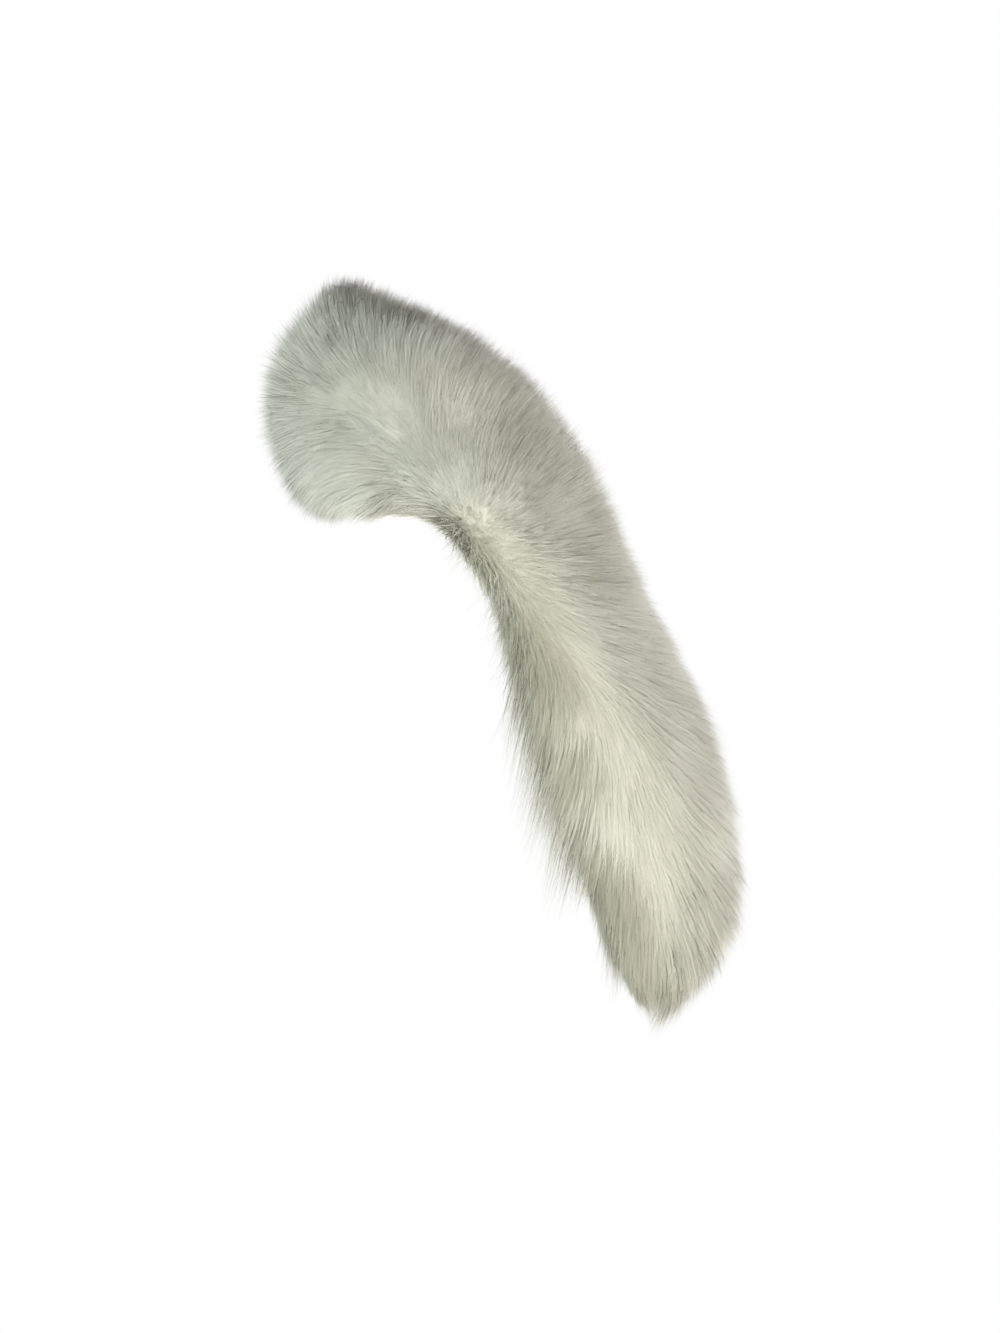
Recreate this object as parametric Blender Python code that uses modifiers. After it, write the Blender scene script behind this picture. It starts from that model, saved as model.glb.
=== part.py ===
"""Fur collar wrap: a long white fox stole, worn round the neck with both ends hanging on the chest.

The wrap is a band of dressed skin with its hair side out. Two skins are joined at the centre back.
Each one runs round its side of the neck, over the collarbone and down the chest to a rounded tip.
Every skin is a thin pelt wall, and plain solids of the fur's reach lie on its outside: one for the
stretch that goes round the neck, and one for the stretch that hangs on the chest.

Frame: metres, +Z up. The wearer faces -Y and the wearer's right is -X. The origin is on the axis of
the neck, in the middle of the height of the band that lies round it.
"""

from collections import namedtuple

import bpy
import numpy as np

COLLECTION_NAME = "fur_collar_wrap"

PELT_THICKNESS = 0.002      # dressed skin with its felted root layer
SEAM_GAP = 0.0003           # between two pieces that are sewn together
FUR_GAP = 0.0008            # between the pelt and the fur that stands on it
END_GAP = 0.0012            # between the pelt's blunt end and the fur past it

# Stations count the rows of the table below, and may lie between two rows.
NECK_END = 4.0              # where the band leaves the neck for the chest
TONGUE_START = 8.6          # where the pelt begins to narrow to its blunt end
PELT_END = 10.3
TIP_START = 9.55            # where the fur begins to narrow to its tip
FUR_END = 11.0
TONGUE_WIDTH = 0.40         # width of the pelt's blunt end, as a share of its full width
TIP_SHAPE = (1.6, 0.7)      # exponents of the tip's outline: share = (1 - part ** 1.6) ** 0.7
TIP_CLOSE = 0.97            # the last ring lies at this part of the tip and is closed flat

NECK_RINGS = 17
FRONT_RINGS = 25
TIP_RINGS = 5
BASE_POINTS = 9             # points of a section across the pelt
CROWN_POINTS = 17           # points of a section over the fur, from edge to edge
CROWN_SQUARENESS = 2.3      # exponent of the fur's rounded outline, 2 for an ellipse
CROWN_TURN_UNDER = 28       # degrees by which the outline goes round past its widest place
EDGE_LEVEL = 0.010          # how far off the skin the fur is widest
EDGE_DROP = 0.022           # half height of the outline below that level

PELT_COLOUR = (0.74, 0.68, 0.57)
FUR_COLOUR = (0.80, 0.79, 0.72)

# One row for each section, from the centre back to the tip.
#   side, back, height       where the middle of the pelt lies: away from the centre plane, behind
#                            the neck's axis and above the origin, in metres
#   turn, tilt               where the pelt faces, in degrees: turn goes from straight back (0) by
#                            way of the side (90) to straight ahead (180), and tilt is upwards
#   pelt                     width of the skin
#   curl                     how far its two edges bend in towards the body
#   reach                    how far the fur stands off the middle of the skin
#   upper, lower             how far the fur stands past the skin's upper and lower edge
Section = namedtuple("Section", "side back height turn tilt pelt curl reach upper lower")
SECTIONS = (
    Section(SEAM_GAP / 2, +0.058, +0.018, 0, 6, 0.100, 0.006, 0.060, 0.027, 0.026),
    Section(0.040, +0.051, +0.014, 35, 10, 0.100, 0.006, 0.060, 0.026, 0.026),
    Section(0.068, +0.026, +0.004, 65, 20, 0.100, 0.006, 0.058, 0.022, 0.025),
    Section(0.082, -0.004, -0.014, 94, 30, 0.100, 0.006, 0.054, 0.018, 0.022),
    Section(0.092, -0.031, -0.044, 127, 36, 0.098, 0.006, 0.052, 0.018, 0.016),
    Section(0.097, -0.056, -0.088, 145, 26, 0.098, 0.006, 0.054, 0.020, 0.018),
    Section(0.099, -0.076, -0.136, 148, 18, 0.100, 0.006, 0.058, 0.026, 0.026),
    Section(0.098, -0.095, -0.184, 148, 14, 0.100, 0.006, 0.060, 0.028, 0.032),
    Section(0.096, -0.112, -0.232, 146, 10, 0.100, 0.006, 0.060, 0.028, 0.032),
    Section(0.093, -0.125, -0.281, 146, 4, 0.094, 0.006, 0.058, 0.026, 0.026),
    Section(0.090, -0.131, -0.331, 148, 0, 0.080, 0.006, 0.052, 0.022, 0.020),
    Section(0.087, -0.134, -0.382, 150, 0, 0.060, 0.004, 0.044, 0.012, 0.010),
)


def section_at(station):
    """The table read at any station, on a smooth curve through its rows (Catmull-Rom)."""
    rows = np.array(SECTIONS, dtype=float)
    across_the_back = rows[1] * np.where(np.isin(Section._fields, ("side", "turn")), -1, 1)
    beyond_the_end = 2 * rows[-1] - rows[-2]
    rows = np.vstack([across_the_back, rows, beyond_the_end])
    first = min(int(station), len(SECTIONS) - 2)
    part = station - first
    before, start, end, after = rows[first:first + 4]
    values = start + 0.5 * part * (
        (end - before)
        + part * (2 * before - 5 * start + 4 * end - after)
        + part ** 2 * (3 * start - before - 3 * end + after)
    )
    return Section(*values)


def middle_at(station):
    """The point in the middle of the right pelt's width."""
    row = section_at(station)
    return np.array([-row.side, row.back, row.height])


def unit(vector):
    """The vector scaled to length one."""
    return vector / np.linalg.norm(vector)


def frame_at(station):
    """The middle of the right pelt, and its directions: along, off the skin, to the upper edge."""
    step = 0.01
    along = unit(middle_at(station + step) - middle_at(max(station - step, 0)))
    if station < step:
        along = np.array([-1.0, 0.0, 0.0])
    row = section_at(station)
    turn, tilt = np.radians([row.turn, row.tilt])
    facing = np.array([-np.sin(turn) * np.cos(tilt), np.cos(turn) * np.cos(tilt), np.sin(tilt)])
    off_skin = unit(facing - along * facing.dot(along))
    return middle_at(station), along, off_skin, np.cross(off_skin, along)


def placed(station, across, off, shift=0.0):
    """A section's points in space, from their distances across the pelt and off it."""
    middle, along, off_skin, upper = frame_at(station)
    return middle + np.outer(across, upper) + np.outer(off, off_skin) + shift * along


def half_pelt(station):
    """Half the pelt's width: it narrows roundly to the blunt end of its tongue."""
    part = np.clip((station - TONGUE_START) / (PELT_END - TONGUE_START), 0, 1)
    share = TONGUE_WIDTH + (1 - TONGUE_WIDTH) * np.sqrt(1 - part ** 2)
    return 0.5 * section_at(station).pelt * share


def skin_row(station):
    """One row of the pelt's body side, from its lower to its upper edge; the edges curl in."""
    place = np.linspace(-1, 1, BASE_POINTS)
    return placed(station, place * half_pelt(station), -section_at(station).curl * place ** 2)


def tip_share(station):
    """Share of its full section that the fur keeps: one, and then less down to the tip."""
    part = np.clip((station - TIP_START) / (FUR_END - TIP_START), 0, 1)
    return (1 - part ** TIP_SHAPE[0]) ** TIP_SHAPE[1]


def crown(station):
    """The fur's rounded outside, from past its widest place above to past its widest place below."""
    row = section_at(station)
    turn_under = np.radians(CROWN_TURN_UNDER)
    angle = np.linspace(-turn_under, np.pi + turn_under, CROWN_POINTS)
    cosine, sine = np.cos(angle), np.sin(angle)
    half_width = row.pelt / 2 + np.where(cosine > 0, row.upper, row.lower)
    half_height = np.where(sine > 0, row.reach - EDGE_LEVEL, EDGE_DROP)
    power = 2 / CROWN_SQUARENESS
    across = half_width * np.sign(cosine) * np.abs(cosine) ** power
    off = EDGE_LEVEL + half_height * np.sign(sine) * np.abs(sine) ** power
    return placed(station, across * tip_share(station), off * tip_share(station))


def ring_on_pelt(station, skin, facing, shift=0.0):
    """A ring of fur over the pelt: the skin's points moved out, a lip beside each edge, the crown.

    The points move within the section's plane, by as much as clears the pelt's wall all over.
    """
    _, along, _, upper = frame_at(station)
    in_plane = facing - np.outer(facing @ along, along)
    length = np.linalg.norm(in_plane, axis=1, keepdims=True)
    base = skin + in_plane * (PELT_THICKNESS + FUR_GAP) / length ** 2
    beside = upper * (FUR_GAP + PELT_THICKNESS * np.abs(facing[0] @ upper))
    lower_corner, upper_corner = base[:1] - beside, base[-1:] + beside
    lower_lip, upper_lip = skin[:1] - beside, skin[-1:] + beside
    ring = [lower_corner, base, upper_corner, upper_lip, crown(station), lower_lip]
    return np.vstack(ring) + shift * along


def ring_past_pelt(station, shift=0.0):
    """A ring of fur beyond the pelt's end, with its base closed at the level of the body side."""
    _, along, _, upper = frame_at(station)
    narrowing = np.clip(tip_share(station) / tip_share(PELT_END), 0, 1)
    middle = middle_at(station)
    skin = middle + narrowing * (skin_row(station) - middle)
    beside = 2 * FUR_GAP * upper
    corners = [skin[:1] - 0.5 * beside, skin, skin[-1:] + 0.5 * beside]
    ring = corners + [skin[-1:] + beside, crown(station), skin[:1] - beside]
    return np.vstack(ring) + shift * along


def triangles(rows, columns, closed):
    """Triangles of a grid of points; a closed one joins its last column to its first.

    Every square is cut along the same diagonal, so that sheets through alike points stay parallel.
    """
    found = []
    for row in range(rows - 1):
        for column in range(columns if closed else columns - 1):
            near, near_after = row * columns + column, row * columns + (column + 1) % columns
            far, far_after = near + columns, near_after + columns
            found += [(near, near_after, far_after), (near, far_after, far)]
    return found


def new_object(name, points, faces, side, material):
    """A mesh object of one side: as it is for the right, and mirrored with its faces turned for the left."""
    if side == "left":
        points = points * (-1, 1, 1)
        faces = [face[::-1] for face in faces]
    mesh = bpy.data.meshes.new(name)
    mesh.from_pydata(points.tolist(), [], faces)
    mesh.materials.append(material)
    mesh.shade_smooth()
    mesh.set_sharp_from_angle(angle=np.radians(40))
    obj = bpy.data.objects.new(name, mesh)
    bpy.data.collections[COLLECTION_NAME].objects.link(obj)
    return obj


def build_pelt(side, skin, material):
    """One skin, from the centre back to its tongue: an open sheet, thickened away from the body."""
    faces = [face[::-1] for face in triangles(len(skin), BASE_POINTS, closed=False)]
    pelt = new_object(f"pelt_{side}", skin.reshape(-1, 3), faces, side, material)
    wall = pelt.modifiers.new("wall", "SOLIDIFY")
    wall.thickness = PELT_THICKNESS
    wall.offset = 1
    return pelt


def build_fur(name, rings, side, material):
    """A solid of the fur's reach through its rings, closed flat at both ends."""
    count = len(rings[0])
    faces = triangles(len(rings), count, closed=True)
    faces.append(tuple(range(count))[::-1])
    faces.append(tuple(range((len(rings) - 1) * count, len(rings) * count)))
    return new_object(name, np.vstack(rings), faces, side, material)


def new_material(name, colour, roughness):
    """A plain material of one colour."""
    material = bpy.data.materials.new(name)
    material.use_nodes = True
    shader = material.node_tree.nodes["Principled BSDF"]
    shader.inputs["Base Color"].default_value = (*colour, 1)
    shader.inputs["Roughness"].default_value = roughness
    return material


def main():
    """Clear the scene and build both sides of the wrap."""
    for obj in list(bpy.data.objects):
        bpy.data.objects.remove(obj)
    collection = bpy.data.collections.new(COLLECTION_NAME)
    bpy.context.scene.collection.children.link(collection)

    stations = np.concatenate([np.linspace(0, NECK_END, NECK_RINGS),
                               np.linspace(NECK_END, PELT_END, FRONT_RINGS)[1:]])
    skin = np.array([skin_row(station) for station in stations])
    for side in ("right", "left"):
        pelt = build_pelt(side, skin, new_material(f"pelt_{side}", PELT_COLOUR, 0.8))
        if side == "right":
            facing = np.array([vertex.normal for vertex in pelt.data.vertices]).reshape(skin.shape)

    rings = [ring_on_pelt(*ring) for ring in zip(stations, skin, facing)]
    half_seam = SEAM_GAP / 2 * frame_at(NECK_END)[1]
    neck = rings[:NECK_RINGS]
    front = rings[NECK_RINGS - 1:]
    neck[-1] = neck[-1] - half_seam
    front[0] = front[0] + half_seam
    front[-1:] = [ring_on_pelt(PELT_END, skin[-1], facing[-1], END_GAP),
                  ring_past_pelt(PELT_END, END_GAP + FUR_GAP)]
    tip_end = TIP_START + TIP_CLOSE * (FUR_END - TIP_START)
    front += [ring_past_pelt(station) for station in np.linspace(PELT_END, tip_end, TIP_RINGS + 1)[1:]]

    for side in ("right", "left"):
        build_fur(f"fur_neck_{side}", neck, side, new_material(f"fur_neck_{side}", FUR_COLOUR, 0.9))
        build_fur(f"fur_front_{side}", front, side, new_material(f"fur_front_{side}", FUR_COLOUR, 0.9))


main()
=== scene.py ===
"""Fur collar wrap: a long white fox stole, worn round the neck with both ends hanging on the chest.

Two dressed skins meet at the centre back. Each one carries a dense underfur and a coat of guard hair,
which fans out over its edges and leans more and more towards the tip of the stole.

Frame: metres, +Z up. The wearer faces -Y and the wearer's right is -X. The right side is worked out,
and the left side is its mirror image with hairs of its own.
"""

import logging
from dataclasses import dataclass
from enum import Enum
from typing import NamedTuple

import bpy
import numpy as np
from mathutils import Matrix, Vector

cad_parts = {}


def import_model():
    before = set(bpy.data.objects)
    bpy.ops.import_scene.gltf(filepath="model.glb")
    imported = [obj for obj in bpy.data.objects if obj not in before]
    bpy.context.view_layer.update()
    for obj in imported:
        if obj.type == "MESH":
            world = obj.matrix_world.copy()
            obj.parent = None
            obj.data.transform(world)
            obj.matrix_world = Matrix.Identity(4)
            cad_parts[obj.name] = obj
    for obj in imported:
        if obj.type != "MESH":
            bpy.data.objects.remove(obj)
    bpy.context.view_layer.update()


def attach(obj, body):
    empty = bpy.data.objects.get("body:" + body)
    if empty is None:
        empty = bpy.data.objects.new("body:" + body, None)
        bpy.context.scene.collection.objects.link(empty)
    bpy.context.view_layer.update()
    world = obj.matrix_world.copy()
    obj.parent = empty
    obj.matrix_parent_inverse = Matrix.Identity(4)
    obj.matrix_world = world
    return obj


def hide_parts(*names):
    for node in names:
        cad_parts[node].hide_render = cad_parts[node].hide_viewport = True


LOG = logging.getLogger("fur_collar_wrap")
Array = np.ndarray

SEAM_GAP = 0.0003           # between the two skins at the centre back
PELT_THICKNESS = 0.002
TONGUE_START = 8.6          # where the skin begins to narrow to its blunt end
TONGUE_WIDTH = 0.40         # width of that end, as a share of the full width
PELT_END = 10.3
TIP_START = 9.55            # where the coat begins to narrow to its tip
FUR_END = 11.0
TIP_SHAPE = (1.6, 0.7)      # exponents of the tip's outline
CROWN_POWER = 2 / 2.3       # of the sine and cosine in the coat's rounded outline, 1 for an ellipse
EDGE_LEVEL = 0.010          # how far off the skin the coat is widest
EDGE_DROP = 0.022           # half height of its outline below that level
COAT_UNDERTURN = 28         # degrees that the coat turns under its edges
RIM_UNDERTURN = 46          # degrees that the hair of the edges starts under them
STATION_LENGTH = 0.048      # mean distance from one station to the next
CROWN_RADIUS = 0.072        # mean distance of the outline from its middle


class Section(NamedTuple):
    """One section of the band, or the same values at many stations as arrays.

    side, back and height place the middle of the skin; turn and tilt say where it faces, in degrees;
    pelt is the skin's width; curl is how far its edges bend in; reach, upper and lower say how far the
    coat stands off its middle and past its two edges. All lengths are in metres.
    """

    side: Array
    back: Array
    height: Array
    turn: Array
    tilt: Array
    pelt: Array
    curl: Array
    reach: Array
    upper: Array
    lower: Array


SECTIONS = (
    Section(SEAM_GAP / 2, +0.058, +0.018, 0, 6, 0.100, 0.006, 0.060, 0.027, 0.026),
    Section(0.040, +0.051, +0.014, 35, 10, 0.100, 0.006, 0.060, 0.026, 0.026),
    Section(0.068, +0.026, +0.004, 65, 20, 0.100, 0.006, 0.058, 0.022, 0.025),
    Section(0.082, -0.004, -0.014, 94, 30, 0.100, 0.006, 0.054, 0.018, 0.022),
    Section(0.092, -0.031, -0.044, 127, 36, 0.098, 0.006, 0.052, 0.018, 0.016),
    Section(0.097, -0.056, -0.088, 145, 26, 0.098, 0.006, 0.054, 0.020, 0.018),
    Section(0.099, -0.076, -0.136, 148, 18, 0.100, 0.006, 0.058, 0.026, 0.026),
    Section(0.098, -0.095, -0.184, 148, 14, 0.100, 0.006, 0.060, 0.028, 0.032),
    Section(0.096, -0.112, -0.232, 146, 10, 0.100, 0.006, 0.060, 0.028, 0.032),
    Section(0.093, -0.125, -0.281, 146, 4, 0.094, 0.006, 0.058, 0.026, 0.026),
    Section(0.090, -0.131, -0.331, 148, 0, 0.080, 0.006, 0.052, 0.022, 0.020),
    Section(0.087, -0.134, -0.382, 150, 0, 0.060, 0.004, 0.044, 0.012, 0.010),
)


class Cover(Enum):
    """Which part of the outline a layer of hair covers."""

    ALL = "all of it"
    EDGES = "the two edges, seen from the body side too"


class Side(Enum):
    """The two halves of the wrap. The value multiplies X."""

    RIGHT = 1.0
    LEFT = -1.0

    @property
    def label(self) -> str:
        """The side's name in piece names."""
        return self.name.lower()


class Frames(NamedTuple):
    """The band's middle and its directions at many stations, each an array of rows."""

    middle: Array
    along: Array
    off_skin: Array
    upper: Array


def unit(vectors: Array) -> Array:
    """Scale each row to length one."""
    return vectors / np.maximum(np.linalg.norm(vectors, axis=-1, keepdims=True), 1e-12)


def smooth(low: float, high: float, values: Array) -> Array:
    """Zero below low, one above high, and 3x^2 - 2x^3 in between."""
    part = np.clip((values - low) / (high - low), 0, 1)
    return part * part * (3 - 2 * part)


def signed_power(values: Array, power: float) -> Array:
    """The size of each value raised to a power, with its sign kept."""
    return np.sign(values) * np.abs(values) ** power


def smooth_turn(low: float, high: float, angles: Array) -> Array:
    """The same smooth step between two angles that are given in degrees."""
    return smooth(np.radians(low), np.radians(high), angles)


def between(start: float, full: float, fading: float, end: float, values: Array) -> Array:
    """Rise smoothly from zero at start to one at full, and back from one at fading to zero at end."""
    return smooth(start, full, values) * (1 - smooth(fading, end, values))


def narrowing(start: float, end: float, stations: Array) -> Array:
    """Share of the full size towards a tip: (1 - x^a)^b, with x from 0 at the start to 1 at the end."""
    part = np.clip((stations - start) / (end - start), 0, 1)
    return (1 - part ** TIP_SHAPE[0]) ** TIP_SHAPE[1]


def all_pairs(rows: Array, columns: Array) -> tuple:
    """Every row's value with every column's, as two flat arrays."""
    return tuple(grid.ravel() for grid in np.meshgrid(rows, columns, indexing="ij"))


def reversed_corners(sizes: Array) -> Array:
    """The order of all faces' corners that makes each face run the other way round."""
    starts = np.concatenate([[0], np.cumsum(sizes)[:-1]])
    place = np.arange(starts[-1] + sizes[-1]) - np.repeat(starts, sizes)
    return np.repeat(starts + sizes - 1, sizes) - place


class Waves:
    """A smooth random field in space: a mean of sine waves of random direction and phase."""

    def __init__(self, seed: int, wavelength: float, count: int = 14) -> None:
        """Draw the waves.

        Args:
            seed: Seed of the random numbers.
            wavelength: The waves' mean length in metres; they differ by up to a third.
            count: Number of waves.
        """
        rng = np.random.default_rng(seed)
        size = 2 * np.pi / (wavelength * rng.uniform(0.67, 1.33, count))
        self.vectors = unit(rng.normal(size=(count, 3))) * size[:, None]
        self.phases = rng.uniform(0, 2 * np.pi, count)

    def at(self, points: Array) -> Array:
        """The field at each row of points, about -1 to 1 with a spread of about 0.5."""
        total = np.sin(points @ self.vectors.T + self.phases).sum(axis=-1)
        return total / np.sqrt(2.0 * len(self.phases))


class Band:
    """The smooth band that the whole wrap follows, from the centre back to the tip."""

    def __init__(self) -> None:
        """Extend the table past both ends, so that its curve can start and stop on a row."""
        rows = np.array(SECTIONS, dtype=float)
        mirrored = np.where(np.isin(Section._fields, ("side", "turn")), -1, 1)
        self.table = np.vstack([rows[1] * mirrored, rows, 2 * rows[-1] - rows[-2]])

    def read(self, stations: Array) -> Section:
        """Read the table on a smooth curve through its rows (Catmull-Rom).

        Args:
            stations: Places along the band, counted in rows of the table.

        Returns:
            The section's values at each station.
        """
        first = np.minimum(stations.astype(int), len(SECTIONS) - 2)
        part = (stations - first)[:, None]
        before, start, end, after = (self.table[first + step] for step in range(4))
        values = start + 0.5 * part * (
            (end - before)
            + part * (2 * before - 5 * start + 4 * end - after)
            + part ** 2 * (3 * start - before - 3 * end + after)
        )
        return Section(*values.T)

    def middle(self, stations: Array) -> Array:
        """The points in the middle of the skin's width."""
        row = self.read(stations)
        return np.column_stack([-row.side, row.back, row.height])

    def frames(self, stations: Array) -> Frames:
        """The band's directions: along it, off the skin, and to its upper edge.

        Args:
            stations: Places along the band.

        Returns:
            The frames. Along is the middle line's slope. Off the skin is the facing direction less its
            part along the band, and the upper direction is square to both.
        """
        step = 0.01
        along = unit(self.middle(stations + step) - self.middle(np.maximum(stations - step, 0)))
        along = np.where((stations < step)[:, None], (-1.0, 0.0, 0.0), along)
        row = self.read(stations)
        turn, tilt = np.radians(row.turn), np.radians(row.tilt)
        level = np.cos(tilt)
        facing = np.column_stack([-np.sin(turn) * level, np.cos(turn) * level, np.sin(tilt)])
        off_skin = unit(facing - along * np.sum(facing * along, axis=1, keepdims=True))
        return Frames(self.middle(stations), along, off_skin, np.cross(off_skin, along))

    def placed(self, stations: Array, across: Array, off: Array) -> Array:
        """Points in space.

        Args:
            stations: Places along the band.
            across: Distances from the skin's middle towards its upper edge.
            off: Distances off the skin's body side.

        Returns:
            The middle plus each distance times its direction.
        """
        frames = self.frames(stations)
        return frames.middle + across[:, None] * frames.upper + off[:, None] * frames.off_skin

    def half_pelt(self, stations: Array) -> Array:
        """Half the skin's width: a quarter of an ellipse narrows it to the tongue's blunt end."""
        part = np.clip((stations - TONGUE_START) / (PELT_END - TONGUE_START), 0, 1)
        share = TONGUE_WIDTH + (1 - TONGUE_WIDTH) * np.sqrt(1 - part ** 2)
        return 0.5 * self.read(stations).pelt * share

    def skin(self, stations: Array, places: Array, rise: float = 0.0) -> Array:
        """Points of the skin's body side, or a height above it.

        Args:
            stations: Places along the band.
            places: Places across it, from -1 at the lower edge to 1 at the upper edge.
            rise: Distance off the body side.

        Returns:
            The points; the edges bend in by the curl times the place squared.
        """
        off = rise - self.read(stations).curl * places ** 2
        return self.placed(stations, places * self.half_pelt(stations), off)

    def crown(self, stations: Array, angles: Array, share: float = 1.0) -> Array:
        """Points of the coat's outline: a rounded box curve round the skin, smaller towards the tip.

        Args:
            stations: Places along the band.
            angles: Angles round the section: 0 at the upper edge, a quarter turn off the skin, a half
                turn at the lower edge.
            share: Share of the outline's size past the skin.

        Returns:
            The points. Across is the half width times cos^p and off is the half height times sin^p
            above the level of the widest place, with p the crown's power and the signs kept.
        """
        row = self.read(stations)
        cosine, sine = np.cos(angles), np.sin(angles)
        half_width = row.pelt / 2 + share * np.where(cosine > 0, row.upper, row.lower)
        half_height = np.where(sine > 0, share * row.reach - EDGE_LEVEL, EDGE_DROP)
        tip = narrowing(TIP_START, FUR_END, stations)
        across = half_width * signed_power(cosine, CROWN_POWER)
        off = EDGE_LEVEL + half_height * signed_power(sine, CROWN_POWER)
        return self.placed(stations, across * tip, off * tip)

    def crown_normal(self, stations: Array, angles: Array) -> Array:
        """Outward directions of the outline.

        Args:
            stations: Places along the band.
            angles: Angles round the section, as in crown.

        Returns:
            Directions of length one, square to the outline's steps along the band and round it.
        """
        step = 0.02
        back = np.minimum(stations, FUR_END - 0.15)
        ahead = self.crown(back + step, angles) - self.crown(np.maximum(back - step, 0), angles)
        around = self.crown(back, angles + step) - self.crown(back, angles - step)
        return unit(np.cross(around, ahead))


class Builder:
    """Makes mesh objects from whole arrays."""

    @staticmethod
    def mesh(name: str, points: Array, loops: Array, sizes: Array, material: bpy.types.Material,
             side: Side = Side.RIGHT) -> bpy.types.Object:
        """Make a mesh object at the origin.

        Args:
            name: Name of the piece.
            points: One row of coordinates for each vertex, for the right side.
            loops: The faces' vertex numbers, one face after the other.
            sizes: Number of corners of each face.
            material: Its finish.
            side: The left side is mirrored, and its faces are turned so that they point outwards.

        Returns:
            The object, linked to the scene and shaded smooth.
        """
        if side is Side.LEFT:
            points = points * (-1.0, 1.0, 1.0)
            loops = loops[reversed_corners(sizes)]
        data = bpy.data.meshes.new(name)
        data.vertices.add(len(points))
        data.vertices.foreach_set("co", points.astype(np.float32).ravel())
        data.loops.add(len(loops))
        data.loops.foreach_set("vertex_index", loops.astype(np.int32))
        data.polygons.add(len(sizes))
        starts = np.concatenate([[0], np.cumsum(sizes)[:-1]])
        data.polygons.foreach_set("loop_start", starts.astype(np.int32))
        data.update(calc_edges=True)
        data.validate()
        data.shade_smooth()
        data.materials.append(material)
        obj = bpy.data.objects.new(name, data)
        bpy.context.scene.collection.objects.link(obj)
        return obj

    @staticmethod
    def grid(rows: int, columns: int, closed: bool) -> Array:
        """Squares of a grid of points; a closed one joins its last column to its first."""
        row = np.arange(rows - 1)[:, None] * columns
        column = np.arange(columns if closed else columns - 1)[None, :]
        after = (column + 1) % columns
        corners = [row + column, row + after, row + columns + after, row + columns + column]
        return np.stack(np.broadcast_arrays(*corners), axis=-1).reshape(-1, 4)

    @staticmethod
    def tube(rows: int, columns: int) -> tuple:
        """Corners and face sizes of a closed grid, with a lid on its first and on its last row."""
        squares = Builder.grid(rows, columns, closed=True)
        first = np.arange(columns)
        loops = np.concatenate([squares.ravel(), first[::-1], first + (rows - 1) * columns])
        return loops, np.append(np.full(len(squares), 4), [columns, columns])


class Nodes:
    """A small helper that adds and links shader nodes."""

    def __init__(self, tree: bpy.types.NodeTree) -> None:
        """Keep the node tree that is worked on."""
        self.tree = tree

    def fill(self, node: bpy.types.Node, inputs: dict) -> None:
        """Give a node's inputs their values and links.

        Args:
            node: The node.
            inputs: Values, or the sockets that they come from, by the input's name or number.
        """
        for key, value in inputs.items():
            if isinstance(value, bpy.types.NodeSocket):
                self.tree.links.new(value, node.inputs[key])
            else:
                node.inputs[key].default_value = value

    def add(self, kind: str, inputs: dict | None = None, **properties: object) -> bpy.types.Node:
        """Add a node.

        Args:
            kind: The node's type, without the leading ShaderNode.
            inputs: What its inputs get, as in fill.
            properties: Its properties by name, set before its inputs are filled.

        Returns:
            The new node.
        """
        node = self.tree.nodes.new(f"ShaderNode{kind}")
        for name, value in properties.items():
            setattr(node, name, value)
        self.fill(node, inputs or {})
        return node

    def scaled(self, value: bpy.types.NodeSocket, factor: float,
               added: bpy.types.NodeSocket) -> bpy.types.NodeSocket:
        """A value times a factor, plus another value."""
        return self.add("Math", {0: value, 1: factor, 2: added}, operation="MULTIPLY_ADD").outputs[0]

    def ramp(self, value: bpy.types.NodeSocket, stops: tuple) -> bpy.types.NodeSocket:
        """A colour ramp through stops of (place, (red, green, blue))."""
        node = self.add("ValToRGB", {0: value})
        elements = node.color_ramp.elements
        for _ in stops[2:]:
            elements.new(0.5)
        for element, (place, colour) in zip(elements, stops):
            element.position = place
            element.color = (*colour, 1)
        return node.outputs[0]


class Surface:
    """A new material, with a helper for its nodes and a way to fill its shader."""

    def __init__(self, name: str) -> None:
        """Make the material, of this name."""
        self.material = bpy.data.materials.new(name)
        self.material.use_nodes = True
        self.nodes = Nodes(self.material.node_tree)

    def texture(self, kind: str, scale: float, inputs: dict, **properties: object) -> bpy.types.Node:
        """Add a texture on Object coordinates, with its scale per metre and its other inputs."""
        where = self.nodes.add("TexCoord").outputs["Object"]
        return self.nodes.add(kind, {"Vector": where, "Scale": scale, **inputs}, **properties)

    def bump(self, height: bpy.types.NodeSocket, strength: float,
             relief: float) -> bpy.types.NodeSocket:
        """A normal from a height that changes over the surface."""
        inputs = {"Strength": strength, "Distance": relief, "Height": height}
        return self.nodes.add("Bump", inputs).outputs[0]

    def shade(self, inputs: dict) -> bpy.types.Material:
        """Fill the shader's inputs by name, and hand over the material."""
        self.nodes.fill(self.material.node_tree.nodes["Principled BSDF"], inputs)
        return self.material


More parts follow.
